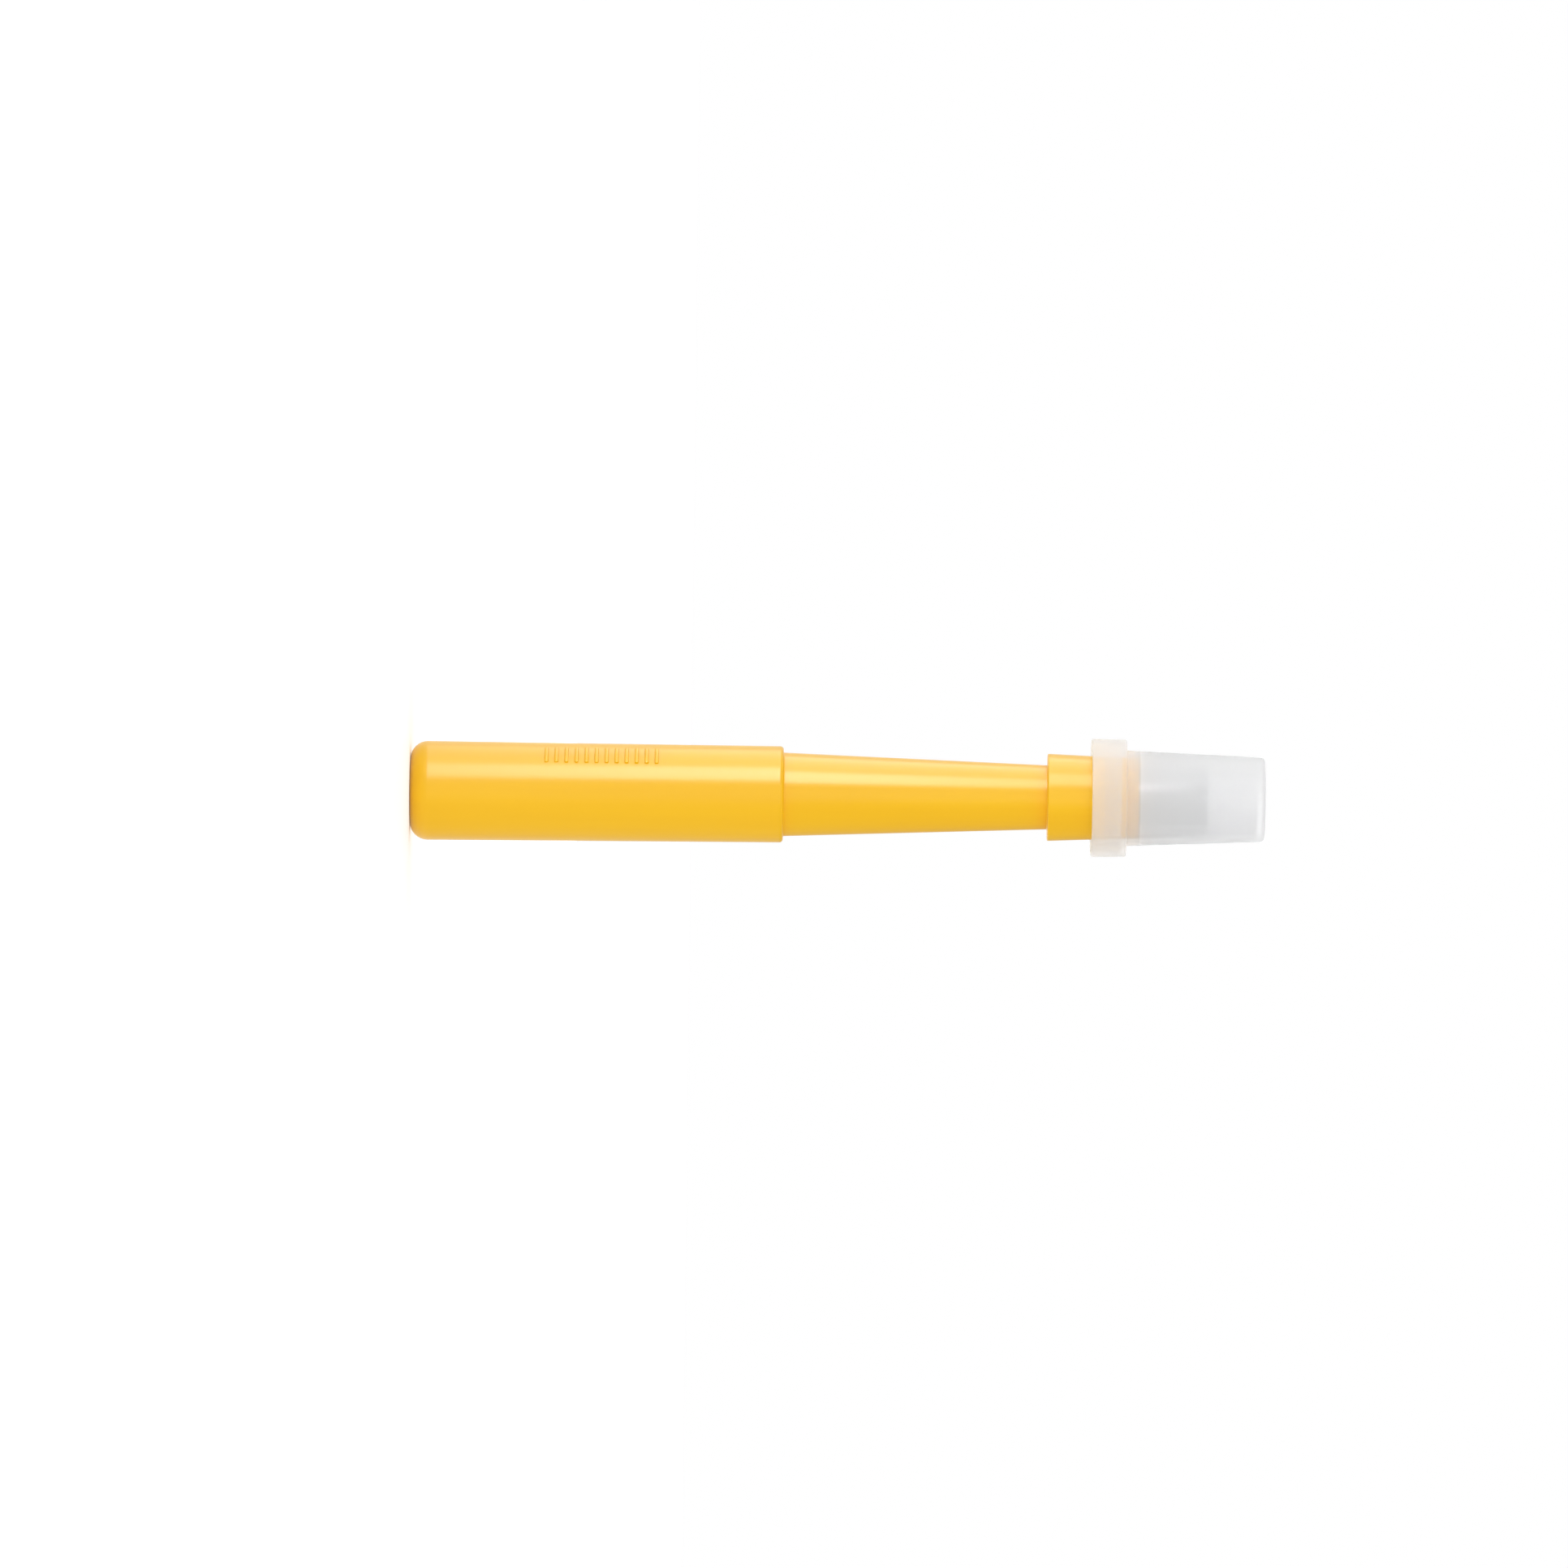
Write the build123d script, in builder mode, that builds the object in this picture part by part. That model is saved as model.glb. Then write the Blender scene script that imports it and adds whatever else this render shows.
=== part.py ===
"""Single-use biopsy punch, 5 mm: a moulded handle, a steel cutting tube and a push-on cap.

The punch stands on the flat rear end of its handle. +Z runs along its axis to the cap, the
origin is the middle of the rear face, and lengths are millimetres. Every piece is turned
about +Z, so each outline is drawn as a half section in the XZ plane: x is a radius, y a height.
"""

import os

from build123d import *

# Cutting tube
punch_radius = 2.5
tube_wall = 0.2
blade_reach = 7.05
bevel_length = 1.2
edge_land = 0.02
tube_end_break = 0.05

# Handle: grip, barrel and collar
grip_length = 38.3
grip_rear_radius = 5.09
grip_front_radius = 4.95
rear_corner_radius = 1.8
grip_edge_radius = 0.35
barrel_length = 27.1
barrel_rear_radius = 4.29
barrel_front_radius = 3.29
collar_length = 9.35
collar_rear_radius = 4.48
collar_front_radius = 4.1
collar_edge_break = 0.1

# Socket for the tube, open at the collar's front
socket_depth = 8.5
socket_lead_in = 0.25
bond_gap = 0.02

# Cap
bare_collar = 4.5
cap_length = 17.8
cap_wall = 0.7
cap_floor = 0.8
cap_fit = 0.05
cap_end_radius = 0.5
cap_floor_bevel = 0.4
seat_set_back = 1.3
seat_lead_in = 0.2
skirt_length = 3.6
skirt_mouth_radius = 6.08
skirt_shoulder_radius = 6.02
skirt_wall = 0.55
skirt_edge_break = 0.2
mouth_rim_break = 0.12

# Heights above the rear face
barrel_end = grip_length + barrel_length
collar_end = barrel_end + collar_length
tube_start = collar_end - socket_depth
tube_end = collar_end + blade_reach
cap_start = barrel_end + bare_collar
seat_start = cap_start + seat_set_back
skirt_end = cap_start + skirt_length
skirt_floor = skirt_end - skirt_wall
cap_end = cap_start + cap_length
cap_floor_face = cap_end - cap_floor

# Tube and socket radii, and the taper that the cap takes from the collar
tube_radius = punch_radius + tube_wall
socket_radius = tube_radius + bond_gap
collar_taper = (collar_rear_radius - collar_front_radius) / collar_length

os.makedirs("parts", exist_ok=True)


def cap_bore(height):
    """Inside radius of the cap, whose bore carries the collar's taper on to the closed end."""
    return collar_front_radius + cap_fit + (collar_end - height) * collar_taper


def circles_at(part, height):
    """The part's round edges at one height, the smallest first."""
    edges = part.edges().filter_by(GeomType.CIRCLE)
    return edges.filter_by_position(Axis.Z, height, height).sort_by(SortBy.RADIUS)


# Handle: one moulding, with a wide grip, a tapered barrel and a collar
with BuildPart() as handle:
    with BuildSketch(Plane.XZ):
        with BuildLine():
            Polyline(
                (0, 0),
                (grip_rear_radius, 0),
                (grip_front_radius, grip_length),
                (barrel_rear_radius, grip_length),
                (barrel_front_radius, barrel_end),
                (collar_rear_radius, barrel_end),
                (collar_front_radius, collar_end),
                (0, collar_end),
                close=True,
            )
        make_face()
    revolve(axis=Axis.Z)
    with Locations(Plane(handle.faces().sort_by(Axis.Z)[-1])):
        Hole(socket_radius, socket_depth)

    fillet(circles_at(handle, 0), rear_corner_radius)
    fillet(circles_at(handle, grip_length)[-1], grip_edge_radius)
    chamfer(circles_at(handle, barrel_end)[-1], collar_edge_break)
    socket_mouth, collar_front_edge = circles_at(handle, collar_end)
    chamfer(collar_front_edge, collar_edge_break)
    chamfer(socket_mouth, socket_lead_in)
handle.part.label = "handle"
export_step(handle.part, "parts/handle.step")

# Cutting tube: seamless steel, ground to an edge from outside, its rear end in the socket
with BuildPart() as cutting_tube:
    with BuildSketch(Plane.XZ):
        with BuildLine():
            Polyline(
                (punch_radius, tube_start),
                (tube_radius, tube_start),
                (tube_radius, tube_end - bevel_length),
                (punch_radius + edge_land, tube_end),
                (punch_radius, tube_end),
                close=True,
            )
        make_face()
    revolve(axis=Axis.Z)
    chamfer(circles_at(cutting_tube, tube_start), tube_end_break)
cutting_tube.part.label = "cutting_tube"
export_step(cutting_tube.part, "parts/cutting_tube.step")

# Cap: a thin closed cone that seats on the collar, with a wide skirt round its mouth
with BuildPart() as tip_cap:
    with BuildSketch(Plane.XZ):
        with BuildLine():
            Polyline(
                (0, cap_end),
                (cap_bore(cap_end) + cap_wall, cap_end),
                (cap_bore(skirt_end) + cap_wall, skirt_end),
                (skirt_shoulder_radius, skirt_end),
                (skirt_mouth_radius, cap_start),
                (skirt_mouth_radius - skirt_wall, cap_start),
                (skirt_shoulder_radius - skirt_wall, skirt_floor),
                (cap_bore(skirt_floor) + cap_wall, skirt_floor),
                (cap_bore(seat_start) + cap_wall, seat_start),
                (cap_bore(seat_start), seat_start),
                (cap_bore(cap_floor_face), cap_floor_face),
                (0, cap_floor_face),
                close=True,
            )
        make_face()
    revolve(axis=Axis.Z)

    chamfer(circles_at(tip_cap, skirt_end)[-1], skirt_edge_break)
    fillet(circles_at(tip_cap, cap_end), cap_end_radius)
    chamfer(circles_at(tip_cap, seat_start)[0], seat_lead_in)
    chamfer(circles_at(tip_cap, cap_floor_face), cap_floor_bevel)
    chamfer(circles_at(tip_cap, cap_start), mouth_rim_break)
tip_cap.part.label = "tip_cap"
export_step(tip_cap.part, "parts/tip_cap.step")
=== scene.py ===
# %% [markdown]
# # A single-use biopsy punch
#
# The punch is three real pieces: a yellow moulded handle, a thin steel cutting tube set in its
# front end, and a milky cap pushed over the tube. Each of them is already a plain solid of the
# right size, in the right place. This lesson gives them their looks. Every solid is replaced by
# a finer turned piece with softened edges, and then come three finishes, a table and the light.
#
# The solids are loaded first, because they fix every size and place.

# %% Load the solids
import math

import bmesh
import bpy
from mathutils import Matrix, Vector


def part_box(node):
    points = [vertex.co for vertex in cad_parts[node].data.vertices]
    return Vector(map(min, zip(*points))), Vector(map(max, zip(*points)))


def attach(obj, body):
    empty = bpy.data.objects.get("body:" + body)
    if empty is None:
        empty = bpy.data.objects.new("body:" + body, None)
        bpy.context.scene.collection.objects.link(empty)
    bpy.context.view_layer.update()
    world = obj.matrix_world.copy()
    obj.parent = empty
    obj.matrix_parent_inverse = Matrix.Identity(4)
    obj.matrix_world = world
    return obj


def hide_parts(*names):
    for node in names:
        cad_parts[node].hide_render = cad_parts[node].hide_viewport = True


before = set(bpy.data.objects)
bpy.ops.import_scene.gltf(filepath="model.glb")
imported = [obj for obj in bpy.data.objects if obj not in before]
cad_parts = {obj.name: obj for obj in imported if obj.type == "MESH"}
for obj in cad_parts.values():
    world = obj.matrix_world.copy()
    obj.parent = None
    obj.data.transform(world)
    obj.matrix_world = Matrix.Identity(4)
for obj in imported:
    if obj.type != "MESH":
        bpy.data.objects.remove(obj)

MM = 0.001

scene = bpy.context.scene
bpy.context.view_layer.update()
collar_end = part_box("handle")[1].z
tube_start, tube_end = (corner.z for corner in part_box("cutting_tube"))
cap_start, cap_end = (corner.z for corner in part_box("tip_cap"))
print("handle ends at", round(collar_end / MM, 2), "mm, tube at", round(tube_end / MM, 2),
      "mm, cap at", round(cap_end / MM, 2), "mm")

# %% [markdown]
# ## A short way to write node trees
#
# Finishes and Geometry Nodes are both trees of nodes. They could be wired by hand in the node
# editor, or line by line in a script, but then the wiring hides what a tree means. Here
# `Tree.add` makes any node from its type, its settings and what goes into its sockets. A
# `Number` wraps a socket that carries a number, so a mask is written as a plain sum, such as
# `1 - streaks * 0.2`, and the Math nodes are added behind it.

# %% Node trees as plain calls
class Number:
    """A number in a node tree. Sums on it add the Math nodes that work them out."""

    def __init__(self, tree, socket):
        self.tree, self.socket = tree, socket

    def __add__(self, other):
        return self.tree.maths("ADD", self, other)

    def __sub__(self, other):
        return self.tree.maths("SUBTRACT", self, other)

    def __rsub__(self, other):
        return self.tree.maths("SUBTRACT", other, self)

    def __mul__(self, other):
        return self.tree.maths("MULTIPLY", self, other)

    __radd__ = __add__
    __rmul__ = __mul__

    def clear_of(self, low, high):
        """0 below low, 1 above high, and a smooth step between."""
        node = self.tree.add("ShaderNodeMapRange", {"interpolation_type": "SMOOTHSTEP"},
                             {"Value": self, "From Min": low, "From Max": high})
        return self.tree.number(node, "Result")


class Tree:
    """A node tree that is filled by plain calls."""

    def __init__(self, tree):
        self.nodes, self.links = tree.nodes, tree.links

    def feed(self, socket, value):
        """Sets a socket, or links it to the number or the socket that its value comes from."""
        if isinstance(value, Number):
            value = value.socket
        if isinstance(value, bpy.types.NodeSocket):
            self.links.new(value, socket)
        else:
            socket.default_value = value

    def add(self, kind, settings=None, inputs=None):
        """Adds one node. Settings come first, because some of them change its sockets."""
        node = self.nodes.new(kind)
        for name, value in (settings or {}).items():
            setattr(node, name, value)
        for name, value in (inputs or {}).items():
            self.feed(node.inputs[name], value)
        return node

    def number(self, node, output):
        """Wraps one output of a node."""
        return Number(self, node.outputs[output])

    def maths(self, operation, *terms):
        """The result of one Math node."""
        node = self.add("ShaderNodeMath", {"operation": operation}, dict(enumerate(terms)))
        return self.number(node, "Value")


# %% [markdown]
# ## Half outlines
#
# Every piece of the punch is round, so it is drawn as half of its section. A corner of an
# outline is (radius, height, rounding). No mould or grinder leaves a perfectly sharp edge, and
# the small arc is what catches the light. A Bevel modifier could round the finished piece, but
# in the outline each corner gets exactly the rounding that it has on the real one. Points just
# beside each arc keep the long faces flat in the shading.

# %% Outlines with rounded corners
ARC_STEP = math.radians(12)
ARC_MARGIN = 0.06 * MM


def arc_round(before, corner, after, rounding):
    """Points of the arc that rounds one corner, with a point beside each of its ends."""
    to_before, to_after = (before - corner).normalized(), (after - corner).normalized()
    half = to_before.angle(to_after) / 2
    # The arc starts and ends this far from the corner. Its centre lies midway between the sides.
    reach = rounding / math.tan(half)
    centre = corner + (to_before + to_after).normalized() * (rounding / math.sin(half))
    start, turn = corner + to_before * reach - centre, math.pi - 2 * half
    side = 1 if to_before.cross(to_after) < 0 else -1
    steps = max(3, math.ceil(turn / ARC_STEP))
    arc = [centre + Matrix.Rotation(side * turn * i / steps, 2) @ start for i in range(steps + 1)]
    margin = min(ARC_MARGIN, reach)
    return [arc[0] + to_before * margin, *arc, arc[-1] + to_after * margin]


def rounded(corners, closed=False):
    """The points of an outline whose corners are (radius, height, rounding)."""
    places = [Vector(corner[:2]) for corner in corners]
    points = []
    for i, (corner, place) in enumerate(zip(corners, places)):
        at_end = not closed and i in (0, len(corners) - 1)
        if at_end or not corner[2]:
            points.append(place)
        else:
            after = places[(i + 1) % len(places)]
            points += arc_round(places[i - 1], place, after, corner[2])
    return points


# %% [markdown]
# ## Trees that make geometry
#
# Two rules shape this punch: its pieces are turned, and its grip marks repeat. Rules like these
# suit Geometry Nodes, where a size can change and the shape follows. Both trees start from named
# inputs, and end by making any copies real and setting the finish on every face.

# %% The start and the end of a tree
def geometry_tree(name, wanted, result):
    """A new Geometry Nodes group, its tree, and the sockets of its named inputs."""
    group = bpy.data.node_groups.new(name, "GeometryNodeTree")
    for label, kind in wanted.items():
        group.interface.new_socket(label, in_out="INPUT", socket_type="NodeSocket" + kind)
    group.interface.new_socket(result, in_out="OUTPUT", socket_type="NodeSocketGeometry")
    tree = Tree(group)
    return group, tree, tree.add("NodeGroupInput").outputs


def hand_out(tree, geometry, finish, result):
    """Ends a tree: copies made real, the finish on every face, and the result passed out."""
    real = tree.add("GeometryNodeRealizeInstances", inputs={"Geometry": geometry})
    finished = tree.add("GeometryNodeSetMaterial",
                        inputs={"Geometry": real.outputs["Geometry"], "Material": finish})
    tree.add("NodeGroupOutput", inputs={result: finished.outputs["Geometry"]})


# %% [markdown]
# ## A lathe in Geometry Nodes
#
# The Screw modifier can turn an outline, and so can Spin in the mesh editor. A tree is used here
# because all three pieces follow the same rule: a circle carries the half outline round the
# axis. Curve to Mesh does that. It holds the outline square to the circle, so each point is
# first moved inward by the circle's radius. Points that meet on the axis are merged.

# %% The lathe
MERGE_WITHIN = 0.002 * MM


def lathe_tree():
    """Carries an outline, given as an edge mesh of (radius, -height), round the Z axis."""
    wanted = {"Outline": "Geometry", "Facets round": "Int", "Ring radius": "Float",
              "Finish": "Material"}
    group, tree, given = geometry_tree("lathe", wanted, "Turned piece")
    outline = tree.add("GeometryNodeMeshToCurve", inputs={"Mesh": given["Outline"]})
    inward = tree.add("ShaderNodeCombineXYZ",
                      inputs={"X": tree.maths("MULTIPLY", given["Ring radius"], -1)})
    section = tree.add("GeometryNodeSetPosition",
                       inputs={"Geometry": outline.outputs["Curve"], "Offset": inward.outputs["Vector"]})
    ring = tree.add("GeometryNodeCurvePrimitiveCircle",
                    inputs={"Resolution": given["Facets round"], "Radius": given["Ring radius"]})
    spun = tree.add("GeometryNodeCurveToMesh",
                    inputs={"Curve": ring.outputs["Curve"], "Profile Curve": section.outputs["Geometry"]})
    merged = tree.add("GeometryNodeMergeByDistance",
                      inputs={"Geometry": spun.outputs["Mesh"], "Distance": MERGE_WITHIN})
    hand_out(tree, merged.outputs["Geometry"], given["Finish"], "Turned piece")
    return group


lathe = lathe_tree()
print("lathe has", len(lathe.nodes), "nodes")

# %% [markdown]
# ## From a tree to a plain piece
#
# A Geometry Nodes modifier could stay on the piece, but the exported piece has to stand without
# its tree. So the tree runs once on a carrier object, and only the result is kept, as a plain
# mesh. The modifier's inputs are set by each socket's identifier before that run. Faces are
# smooth except across real edges, and all of them point outwards.

# %% Bake a tree, and turn an outline
SHARP_ANGLE = math.radians(32)
FACETS_ROUND = 144
LATHE_RING = 10 * MM


def baked(name, source, group, values):
    """Runs a Geometry Nodes tree on a source mesh and keeps only the plain result."""
    carrier = bpy.data.objects.new(name + "_source", source)
    scene.collection.objects.link(carrier)
    modifier = carrier.modifiers.new("tree", "NODES")
    modifier.node_group = group
    for item in group.interface.items_tree:
        if item.name in values:
            modifier[item.identifier] = values[item.name]
    evaluated = carrier.evaluated_get(bpy.context.evaluated_depsgraph_get())
    mesh = bpy.data.meshes.new_from_object(evaluated)
    bpy.data.objects.remove(carrier)

    # The faces are turned outwards, and edges that would leave the piece open are counted.
    edit = bmesh.new()
    edit.from_mesh(mesh)
    bmesh.ops.recalc_face_normals(edit, faces=edit.faces)
    open_edges = sum(not edge.is_manifold for edge in edit.edges)
    edit.to_mesh(mesh)
    edit.free()
    mesh.shade_smooth()
    mesh.set_sharp_from_angle(angle=SHARP_ANGLE)

    piece = bpy.data.objects.new(name, mesh)
    scene.collection.objects.link(piece)
    print(name, "has", len(mesh.polygons), "faces and", open_edges, "open edges")
    return piece


def turned(name, points, finish, closed=False):
    """A piece turned from its half outline."""
    source = bpy.data.meshes.new(name + "_outline")
    count = len(points)
    edges = [(i, (i + 1) % count) for i in range(count if closed else count - 1)]
    source.from_pydata([(point.x, -point.y, 0) for point in points], edges, [])
    values = {"Facets round": FACETS_ROUND, "Ring radius": LATHE_RING, "Finish": finish}
    return baked(name, source, lathe, values)


# %% [markdown]
# ## Helpers for finishes
#
# A finish is a small tree in front of one shader. One flat colour would look like paint, and a
# picture of plastic or steel would stretch over the round shapes. Noise has neither fault,
# because it is read from the piece's own coordinates, and it moves with the piece. The helpers
# make a material, noise that can be drawn out along the punch, a blend of two colours, and a
# bump.

# %% Material, noise, blend and bump
def principled(name):
    """A new material, its tree, and the inputs of its one shader."""
    material = bpy.data.materials.new(name)
    material.use_nodes = True
    return material, Tree(material.node_tree), material.node_tree.nodes["Principled BSDF"].inputs


def place_on(tree):
    """Where a point is on the piece, measured from the middle of the rear end."""
    return tree.add("ShaderNodeTexCoord").outputs["Object"]


def noise(tree, scale, stretch, detail=2):
    """Noise on the piece, scale blotches to the metre. A stretch under 1 makes them long."""
    mapped = tree.add("ShaderNodeMapping", inputs={"Vector": place_on(tree), "Scale": (1, 1, stretch)})
    node = tree.add("ShaderNodeTexNoise",
                    inputs={"Vector": mapped.outputs["Vector"], "Scale": scale, "Detail": detail})
    return tree.number(node, "Fac")


def mixed(tree, factor, first, second):
    """A colour between two others. Sockets 6 and 7 are the two colours of a Mix node."""
    inputs = {"Factor": factor, 6: (*first, 1), 7: (*second, 1)}
    return tree.add("ShaderNodeMix", {"data_type": "RGBA"}, inputs).outputs[2]


def bumped(tree, height, strength, depth, over=None):
    """A surface raised by a number between 0 and 1, on top of another bump if one is given."""
    inputs = {"Height": height, "Strength": strength, "Distance": depth}
    if over is not None:
        inputs["Normal"] = over
    return tree.add("ShaderNodeBump", inputs=inputs).outputs["Normal"]


# %% [markdown]
# ## Yellow plastic
#
# The handle is moulded in an opaque yellow plastic with a satin surface. Its colour is nearly
# even, so what makes it look real is small: faint flow marks along the handle, a slow waviness
# that bends the highlight a little, and a fine grain that breaks it up. Each is a noise of its
# own size, because a single one would put all three in the same places.

# %% Finish of the handle
DEEP_YELLOW = (0.945, 0.515, 0.001)
PALE_YELLOW = (0.975, 0.550, 0.002)


def yellow_plastic():
    """Satin yellow, with faint flow marks along the handle."""
    material, tree, shader = principled("yellow_plastic")
    flow = noise(tree, scale=420, stretch=0.06, detail=3)
    slow = noise(tree, scale=60, stretch=0.5)
    grain = noise(tree, scale=9000, stretch=1, detail=1)
    waves = noise(tree, scale=130, stretch=0.25, detail=1)
    marks = (flow * 0.6 + slow * 0.4).clear_of(0.3, 0.7)
    tree.feed(shader["Base Color"], mixed(tree, marks, DEEP_YELLOW, PALE_YELLOW))
    tree.feed(shader["Roughness"], slow * 0.08 + grain * 0.04 + 0.24)
    wavy = bumped(tree, waves, strength=0.12, depth=0.05 * MM)
    tree.feed(shader["Normal"], bumped(tree, grain, strength=0.04, depth=0.01 * MM, over=wavy))
    shader["Specular IOR Level"].default_value = 0.45
    shader["IOR"].default_value = 1.49
    return material


handle_finish = yellow_plastic()
print(handle_finish.name, "has", len(handle_finish.node_tree.nodes), "nodes")

# %% [markdown]
# ## Handle
#
# One moulding: a wide grip with a closed, rounded rear end, a square step down to a tapered
# barrel, and a collar that is widest at its rear. A blind socket in the collar holds the tube.
# It could be three cones joined together, but the real handle has no joint, so it is one outline
# and one closed piece. The outline runs from the middle of the rear end to the socket's floor.

# %% Turn the handle
grip_length = 38.3 * MM
grip_rear_radius = 5.08 * MM
grip_front_radius = 4.94 * MM
grip_rear_rounding = 1.8 * MM
grip_edge_rounding = 0.35 * MM
barrel_end = 65.4 * MM
barrel_rear_radius = 4.29 * MM
barrel_front_radius = 3.29 * MM
step_rounding = 0.12 * MM
collar_rear_radius = 4.475 * MM
collar_front_radius = 4.095 * MM
collar_rounding = 0.1 * MM
socket_radius = 2.72 * MM
socket_lead_in = 0.25 * MM
socket_rounding = 0.04 * MM

handle_outline = rounded([
    (0, 0, 0),
    (grip_rear_radius, 0, grip_rear_rounding),
    (grip_front_radius, grip_length, grip_edge_rounding),
    (barrel_rear_radius, grip_length, step_rounding),
    (barrel_front_radius, barrel_end, collar_rounding),
    (collar_rear_radius, barrel_end, collar_rounding),
    (collar_front_radius, collar_end, collar_rounding),
    (socket_radius + socket_lead_in, collar_end, socket_rounding),
    (socket_radius, collar_end - socket_lead_in, socket_rounding),
    (socket_radius, tube_start, 0),
    (0, tube_start, 0),
])
handle = turned("yellow_handle", handle_outline, handle_finish)
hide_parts("handle")
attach(handle, "punch")

# %% [markdown]
# ## Raised bars on the grip
#
# The mould leaves a row of low marks on one side of the grip, made here as plain bars. Twelve
# cubes could be placed by hand, but a tree keeps their number, spacing and size as inputs. It
# makes one soft-cornered bar by subdivision and copies it to points in a row. The copies are
# made real before they are bent round the grip, because a copy can only be moved whole. In the
# bend a point's height stays, its distance sideways becomes an angle, and its place in the bar's
# thickness adds to the grip's radius.

# %% Bars in Geometry Nodes
def bars_tree():
    """A row of soft bars along the Z axis, bent round it."""
    wanted = {"Start": "Vector", "Pitch": "Float", "Count": "Int", "Bar size": "Vector",
              "Base radius": "Float", "Middle angle": "Float", "Finish": "Material"}
    group, tree, given = geometry_tree("raised_bars", wanted, "Bars")
    step = tree.add("ShaderNodeCombineXYZ", inputs={"Z": given["Pitch"]})
    row = tree.add("GeometryNodeMeshLine", {"mode": "OFFSET"},
                   {"Count": given["Count"], "Start Location": given["Start"],
                    "Offset": step.outputs["Vector"]})
    cube = tree.add("GeometryNodeMeshCube", inputs={"Size": given["Bar size"], "Vertices X": 3,
                                                    "Vertices Y": 10, "Vertices Z": 3})
    bar = tree.add("GeometryNodeSubdivisionSurface", inputs={"Mesh": cube.outputs["Mesh"], "Level": 2})
    copies = tree.add("GeometryNodeInstanceOnPoints",
                      inputs={"Points": row.outputs["Mesh"], "Instance": bar.outputs["Mesh"]})
    real = tree.add("GeometryNodeRealizeInstances", inputs={"Geometry": copies.outputs["Instances"]})

    position = tree.add("GeometryNodeInputPosition").outputs["Position"]
    flat = tree.add("ShaderNodeSeparateXYZ", inputs={"Vector": position}).outputs
    radius = tree.maths("ADD", given["Base radius"], flat["X"])
    angle = tree.maths("DIVIDE", flat["Y"], given["Base radius"]) + given["Middle angle"]
    bent = tree.add("ShaderNodeCombineXYZ", inputs={"X": radius * tree.maths("COSINE", angle),
                                                    "Y": radius * tree.maths("SINE", angle),
                                                    "Z": flat["Z"]})
    wrapped = tree.add("GeometryNodeSetPosition",
                       inputs={"Geometry": real.outputs["Geometry"], "Position": bent.outputs["Vector"]})
    hand_out(tree, wrapped.outputs["Geometry"], given["Finish"], "Bars")
    return group


raised_bars = bars_tree()
print("raised bars have", len(raised_bars.nodes), "nodes")

# %% [markdown]
# ## The bars on the grip
#
# The bars could be part of the handle's mesh, but as a piece of their own they leave its outline
# simple. They sit half sunk in the grip, so that no gap shows below them, and take its finish.
# The grip narrows towards the front, so the first bar sets how far out they all lie. The camera
# will look from -Y and -X will be up in the picture, so the row is turned from -Y towards -X.

# %% Set the bars on the grip
CAMERA_SIDE = math.radians(-90)

bars_start, bars_end = 14.0 * MM, 25.3 * MM
bars_count = 12
bars_side = math.radians(50)
bar_thickness, bar_length, bar_width = 0.3 * MM, 2.3 * MM, 0.42 * MM

grip_taper = (grip_rear_radius - grip_front_radius) / grip_length
marks = baked("grip_marks", bpy.data.meshes.new("empty"), raised_bars, {
    "Start": (0, 0, bars_start),
    "Pitch": (bars_end - bars_start) / (bars_count - 1),
    "Count": bars_count,
    "Bar size": (bar_thickness, bar_length, bar_width),
    "Base radius": grip_rear_radius - grip_taper * bars_start,
    "Middle angle": CAMERA_SIDE - bars_side,
    "Finish": handle_finish,
})
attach(marks, "punch")

# %% [markdown]
# ## Ground steel
#
# The tube is seamless stainless steel, drawn to size, polished, and ground from outside to a fine
# edge. A mirror-smooth metal would look like chrome. The drawing leaves lines along the tube and
# the grinding leaves rings on the bevel, so two noises are stretched in different directions and
# meet where the bevel starts. Bare metal also gets almost white where it is seen at a low angle,
# and there it would vanish against a white background. A darker Specular Tint keeps its outline.

# %% Steel
DARK_STEEL = (0.55, 0.56, 0.57)
LIGHT_STEEL = (0.62, 0.63, 0.64)
GRAZING_TINT = (0.35, 0.35, 0.35, 1)

tube_radius = 2.7 * MM
punch_radius = 2.5 * MM
bevel_start = tube_end - 1.2 * MM
bevel_rounding = 0.1 * MM
bevel_blend = 0.02 * MM
tube_end_rounding = 0.03 * MM
edge_land = 0.01 * MM


def height_on(tree):
    """How high a point of the piece is above the rear end."""
    node = tree.add("ShaderNodeSeparateXYZ", inputs={"Vector": place_on(tree)})
    return tree.number(node, "Z")


def ground_steel():
    """Polished steel, with lines along the tube and rings on its bevel."""
    material, tree, shader = principled("ground_steel")
    on_bevel = height_on(tree).clear_of(bevel_start, bevel_start + bevel_blend)
    drawn = noise(tree, scale=16000, stretch=0.01)
    rings = noise(tree, scale=600, stretch=60)
    lines = drawn * (1 - on_bevel) + rings * on_bevel
    tree.feed(shader["Base Color"], mixed(tree, lines.clear_of(0.25, 0.75), DARK_STEEL, LIGHT_STEEL))
    tree.feed(shader["Roughness"], lines * 0.08 + 0.18)
    tree.feed(shader["Normal"], bumped(tree, lines, strength=0.08, depth=0.005 * MM))
    shader["Metallic"].default_value = 1
    shader["Specular Tint"].default_value = GRAZING_TINT
    return material


tube_finish = ground_steel()
print(tube_finish.name, "has", len(tube_finish.node_tree.nodes), "nodes")

# %% [markdown]
# ## Cutting tube
#
# The tube cuts a round core, which passes into its bore, so it has to be open from end to end. A
# cylinder with a Solidify modifier would give it a wall, but not the bevel that runs out to the
# edge. Its half outline is closed instead and lies off the axis, and the lathe makes a ring of it.

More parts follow.
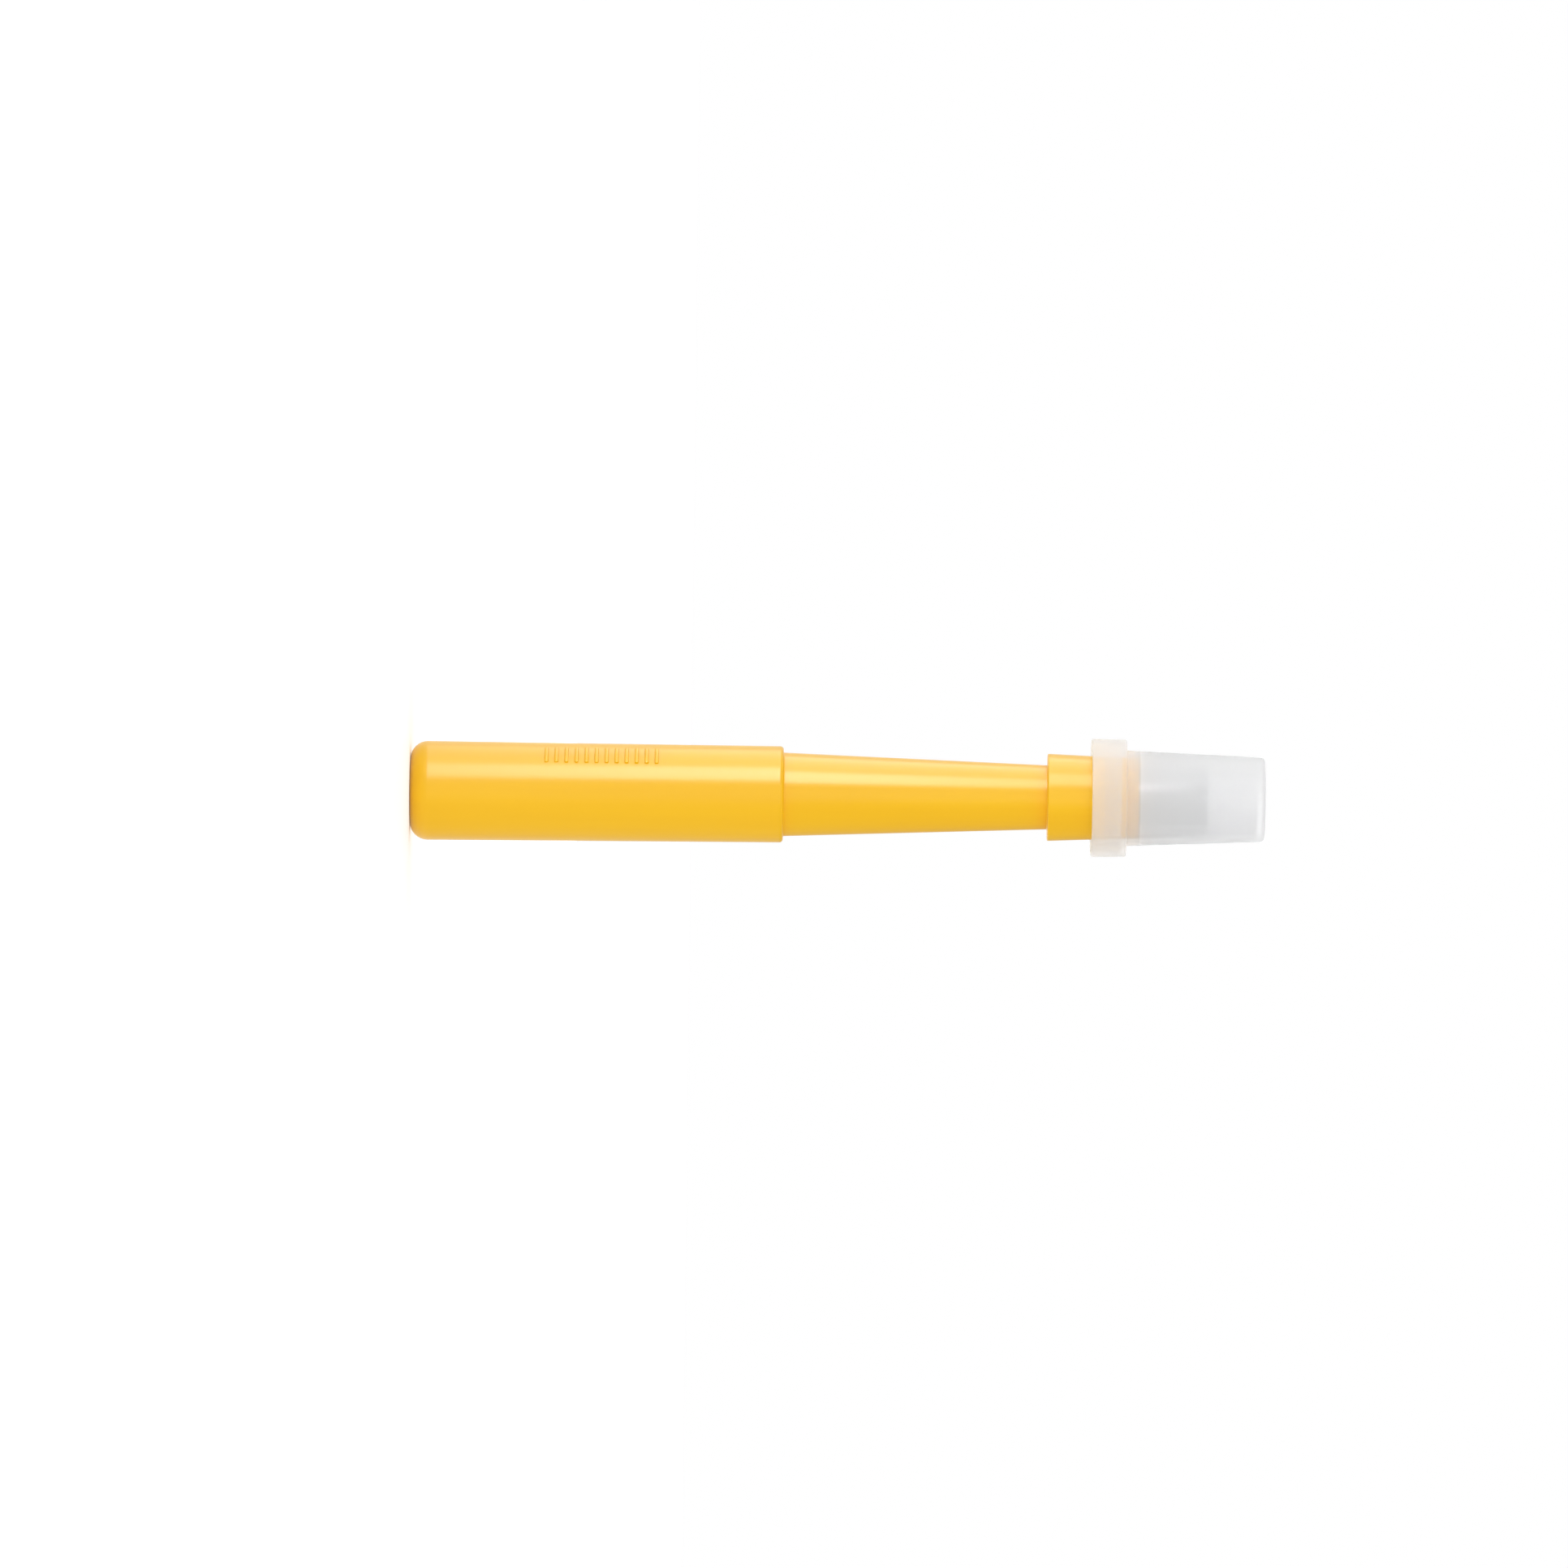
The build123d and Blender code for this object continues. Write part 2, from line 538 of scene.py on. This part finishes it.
# %% Turn the cutting tube
tube_outline = rounded([
    (punch_radius, tube_start, tube_end_rounding),
    (tube_radius, tube_start, tube_end_rounding),
    (tube_radius, bevel_start, bevel_rounding),
    (punch_radius + edge_land, tube_end, 0),
    (punch_radius, tube_end, 0),
], closed=True)
tube = turned("steel_cutting_tube", tube_outline, tube_finish, closed=True)
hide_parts("cutting_tube")
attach(tube, "punch")

# %% [markdown]
# ## Shape of the cap
#
# The cap is a thin cone, closed at the front, that seats on the collar. A wide skirt round its
# mouth gives fingers a hold and stands clear of the collar. The bore carries the collar's taper
# on to the closed end. A single surface could stand for such a thin wall, but this cap can be
# seen into and through, so its wall is drawn with both faces and has a real thickness.

# %% Outline of the cap
cap_wall = 0.7 * MM
cap_floor = 0.8 * MM
cap_fit = 0.05 * MM
cap_end_rounding = 0.5 * MM
cap_floor_rounding = 0.4 * MM
seat_start = cap_start + 1.3 * MM
seat_rounding = 0.12 * MM
seat_lead_in = 0.2 * MM
skirt_end = cap_start + 3.6 * MM
skirt_wall = 0.55 * MM
skirt_floor = skirt_end - skirt_wall
skirt_mouth_radius = 6.07 * MM
skirt_shoulder_radius = 6.01 * MM
skirt_shoulder_rounding = 0.2 * MM
skirt_foot_rounding = 0.15 * MM
skirt_floor_rounding = 0.1 * MM
mouth_rounding = 0.15 * MM

collar_taper = (collar_rear_radius - collar_front_radius) / (collar_end - barrel_end)


def cap_bore(height):
    """Inside radius of the cap, whose bore carries the collar's taper on to the closed end."""
    return collar_front_radius + cap_fit + (collar_end - height) * collar_taper


cap_outline = rounded([
    (0, cap_end, 0),
    (cap_bore(cap_end) + cap_wall, cap_end, cap_end_rounding),
    (cap_bore(skirt_end) + cap_wall, skirt_end, skirt_foot_rounding),
    (skirt_shoulder_radius, skirt_end, skirt_shoulder_rounding),
    (skirt_mouth_radius, cap_start, mouth_rounding),
    (skirt_mouth_radius - skirt_wall, cap_start, mouth_rounding),
    (skirt_shoulder_radius - skirt_wall, skirt_floor, skirt_floor_rounding),
    (cap_bore(skirt_floor) + cap_wall, skirt_floor, skirt_floor_rounding),
    (cap_bore(seat_start) + cap_wall, seat_start, seat_rounding),
    (cap_bore(seat_start), seat_start, seat_lead_in),
    (cap_bore(cap_end - cap_floor), cap_end - cap_floor, cap_floor_rounding),
    (0, cap_end - cap_floor, 0),
])
print("cap outline has", len(cap_outline), "points, and its bore is",
      round(2 * cap_bore(seat_start) / MM, 2), "mm across at the seat")

# %% [markdown]
# ## Milky plastic
#
# The cap is an uncoloured plastic that lets light in and scatters it. Clear glass would show the
# tube sharply, and plain white would hide it. Subsurface makes the wall glow softly, a little
# Transmission carries light through it, and Alpha sets how much of what is behind still shows.
# Masks vary that over the cap. Where it lies on the collar the wall is made clearer, which lets
# the yellow through. From the mouth to the collar's front end its colour is also painted whiter:
# painted light. Under the skirt there are two walls, one behind the other. The inner one is made
# clearer still, so that together they look like a single wall. Past the collar the cap is greyest
# and hides the tube best.

# %% Finish of the cap
# Painted light: the cap takes this whiter colour up to the collar's front end. Past it, random cloudy
# patches lean towards it.
CLOUD_AND_PAINTED_LIGHT_WHITE = (0.985, 0.985, 0.98)
MILKY_GREY = (0.875, 0.88, 0.892)

fade = 0.2 * MM


def radius_on(tree):
    """How far a point of the piece is from the axis."""
    flat = tree.add("ShaderNodeVectorMath", {"operation": "MULTIPLY"}, {0: place_on(tree), 1: (1, 1, 0)})
    node = tree.add("ShaderNodeVectorMath", {"operation": "LENGTH"}, {0: flat.outputs["Vector"]})
    return tree.number(node, "Value")


def milky_plastic():
    """Cloudy plastic, clearer on the collar and in the wall that the skirt covers, and painted whiter up
    to the collar's front end as painted light.
    """
    material, tree, shader = principled("milky_plastic")
    cloud = noise(tree, scale=150, stretch=0.6)
    waves = noise(tree, scale=250, stretch=0.3, detail=1)
    height = height_on(tree)
    off_collar = height.clear_of(collar_end, collar_end + fade)
    past_skirt = height.clear_of(skirt_end - fade, skirt_end)
    in_skirt = radius_on(tree).clear_of(cap_bore(seat_start) + cap_wall,
                                        skirt_shoulder_radius - skirt_wall)
    under_skirt = (1 - past_skirt) * (1 - in_skirt)
    # Painted light: up to the collar's front end the colour stays the painted whiter one. Past it, the
    # colour is grey with random cloudy patches.
    grey_past_painted_light = off_collar * (1 - cloud.clear_of(0.3, 0.7) * 0.35)
    tree.feed(shader["Base Color"], mixed(tree, grey_past_painted_light, CLOUD_AND_PAINTED_LIGHT_WHITE, MILKY_GREY))
    tree.feed(shader["Alpha"], off_collar * 0.16 - under_skirt * 0.3 + 0.5)
    tree.feed(shader["Roughness"], cloud * 0.1 + 0.45)
    tree.feed(shader["Normal"], bumped(tree, waves, strength=0.1, depth=0.05 * MM))
    shader["Subsurface Weight"].default_value = 1
    shader["Subsurface Radius"].default_value = (1, 1, 1)
    shader["Subsurface Scale"].default_value = 1.5 * MM
    shader["Transmission Weight"].default_value = 0.25
    shader["IOR"].default_value = 1.4
    return material


cap = turned("milky_cap", cap_outline, milky_plastic())
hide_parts("tip_cap")
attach(cap, "cap")

# %% [markdown]
# ## Table
#
# The punch stands on its rear end on a plain pale table. To make the table look white, more light
# could be put on it, but that light would also bleach the punch. Instead the table glows a
# little, and only for rays that look at it: those from the camera, and those that gloss and clear
# plastic send on. Light that falls on the table and bounces up still finds an ordinary pale
# surface, so the punch keeps its colours and its soft shadow.

# %% Table that looks white
TABLE_SIDE = 8.0
TABLE_GLOW = 0.21


def ray_kinds(tree, *kinds):
    """For each kind of ray, a number that is 1 when such a ray meets the surface."""
    rays = tree.add("ShaderNodeLightPath")
    return [tree.number(rays, f"Is {kind} Ray") for kind in kinds]


def seen_directly(tree):
    """1 for rays from the camera, and for those that gloss or clear plastic sends on."""
    camera, glossy, through = ray_kinds(tree, "Camera", "Glossy", "Transmission")
    return tree.maths("MAXIMUM", tree.maths("MAXIMUM", camera, glossy), through)


def pale_table():
    """Pale and matt, with a glow that lights nothing."""
    material, tree, shader = principled("pale_table")
    tree.feed(shader["Emission Color"], seen_directly(tree) * TABLE_GLOW)
    shader["Emission Strength"].default_value = 1
    shader["Base Color"].default_value = (0.95, 0.95, 0.95, 1)
    shader["Roughness"].default_value = 0.6
    shader["Specular IOR Level"].default_value = 0.2
    return material


half = TABLE_SIDE / 2
table_mesh = bpy.data.meshes.new("table")
table_mesh.from_pydata([(-half, -half, 0), (half, -half, 0), (half, half, 0), (-half, half, 0)],
                       [], [(0, 1, 2, 3)])
table_mesh.materials.append(pale_table())
table = bpy.data.objects.new("table", table_mesh)
scene.collection.objects.link(table)
print("table is", TABLE_SIDE, "m wide")

# %% [markdown]
# ## World
#
# Even light from all sides is the plainest studio there is. The world gives it at a strength at
# which colours render about as they are written, and shows white to rays that look at it. A
# glossy cylinder in such an all-white room loses its lower edge in a pale reflection. A
# photographer holds a grey card beside it, and so does this world: towards +X, which is down in
# the picture, it turns grey, but only for gloss.

# %% World with a grey card
AMBIENT = 0.84
GREY_CARD = (0.32, 0.30, 0.27)

world = bpy.data.worlds.new("studio")
world.use_nodes = True
scene.world = world
sky = Tree(world.node_tree)
background = world.node_tree.nodes["Background"].inputs
sky.feed(background["Strength"], seen_directly(sky) * (1 - AMBIENT) + AMBIENT)

direction = sky.add("ShaderNodeTexCoord").outputs["Generated"]
downwards = sky.number(sky.add("ShaderNodeSeparateXYZ", inputs={"Vector": direction}), "X")
glossy, through = ray_kinds(sky, "Glossy", "Transmission")
on_card = downwards.clear_of(0.0, 0.6) * glossy * (1 - through)
sky.feed(background["Color"], mixed(sky, on_card, (1, 1, 1), GREY_CARD))
print("world lights at", AMBIENT, "and looks white")

# %% [markdown]
# ## Camera
#
# In the photograph the punch lies across the picture with its rear end to the left. Here it
# stands, so it is the camera that lies on its side: +Z of the punch points right in the picture,
# turned down by the small angle that the axis has there. The camera could be moved by eye until
# the two match. Two points of the axis, read off the photograph in pixels, fix its scale, tilt
# and place at once. The lens is long, because the photograph shows hardly any perspective.

# %% Camera from two points of the axis
PHOTO_SIDE = 1932
REAR_END = Vector((505.5, 973.6))
CAP_END = Vector((1558.0, 985.6))
LENS, SENSOR = 300.0, 36.0

# The picture's own directions, right, up and back towards the camera, as the punch has them.
along = CAP_END - REAR_END
metres_per_pixel = cap_end / along.length
tilt = math.atan2(along.y, along.x)
right = Vector((-math.sin(tilt), 0, math.cos(tilt)))
up = Vector((-math.cos(tilt), 0, -math.sin(tilt)))
back = right.cross(up)
offset = (Vector((PHOTO_SIDE / 2, PHOTO_SIDE / 2)) - REAR_END) * metres_per_pixel
aim = right * offset.x - up * offset.y
distance = PHOTO_SIDE * metres_per_pixel * LENS / SENSOR

camera_data = bpy.data.cameras.new("camera")
camera_data.lens, camera_data.sensor_width = LENS, SENSOR
camera_data.clip_start, camera_data.clip_end = 0.01, 20
camera = bpy.data.objects.new("camera", camera_data)
scene.collection.objects.link(camera)
turned_to_punch = Matrix((right, up, back)).transposed().to_4x4()
camera.matrix_world = Matrix.Translation(aim + back * distance) @ turned_to_punch
scene.camera = camera
scene.view_settings.view_transform = "Standard"
print("camera is", round(distance, 3), "m away, tilted", round(math.degrees(tilt), 2), "degrees")

# %% [markdown]
# ## Lamps
#
# A lamp does two things: it shades a surface, and it is mirrored in it. One lamp for both means
# that a bright highlight also bleaches the colour beside it. So each lamp here does one of them.
# The window and the ceiling are seen only in gloss. The window is a low strip level with the
# punch, which draws one clean highlight along grip, barrel and collar. The ceiling makes the
# side of the punch that is up in the picture a little paler. The front and back lamps are soft
# and only shade, so that the punch looks round from every side.

# %% Lamps for gloss and lamps for shade
def lamp(name, side, reach, size, watts, height, aim_height):
    """A soft lamp beside the punch. Its side is in degrees from the camera towards picture-up."""
    data = bpy.data.lights.new(name, "AREA")
    data.shape = "RECTANGLE"
    data.size, data.size_y = size
    data.energy = watts
    item = bpy.data.objects.new(name, data)
    scene.collection.objects.link(item)
    angle = math.radians(side)
    item.location = Vector((-math.sin(angle) * reach, -math.cos(angle) * reach, height))
    item.rotation_mode = "QUATERNION"
    item.rotation_quaternion = (Vector((0, 0, aim_height)) - item.location).to_track_quat("-Z", "Y")
    print(name, "lamp,", watts, "W at", reach, "m")
    return item


gloss_lamps = [
    lamp("window", side=49.5, reach=0.6, size=(0.37, 0.12), watts=2.1, height=0.06, aim_height=0.06),
    lamp("ceiling", side=100, reach=0.8, size=(0.9, 0.35), watts=4.0, height=0.04, aim_height=0.04),
]
for item in gloss_lamps:
    item.visible_diffuse = False

shade_lamps = [
    lamp("front", side=0, reach=1.0, size=(0.7, 0.4), watts=1.6, height=0.22, aim_height=0.04),
    lamp("back", side=165, reach=1.0, size=(0.7, 0.4), watts=1.9, height=0.22, aim_height=0.04),
]
for item in shade_lamps:
    item.visible_glossy = False
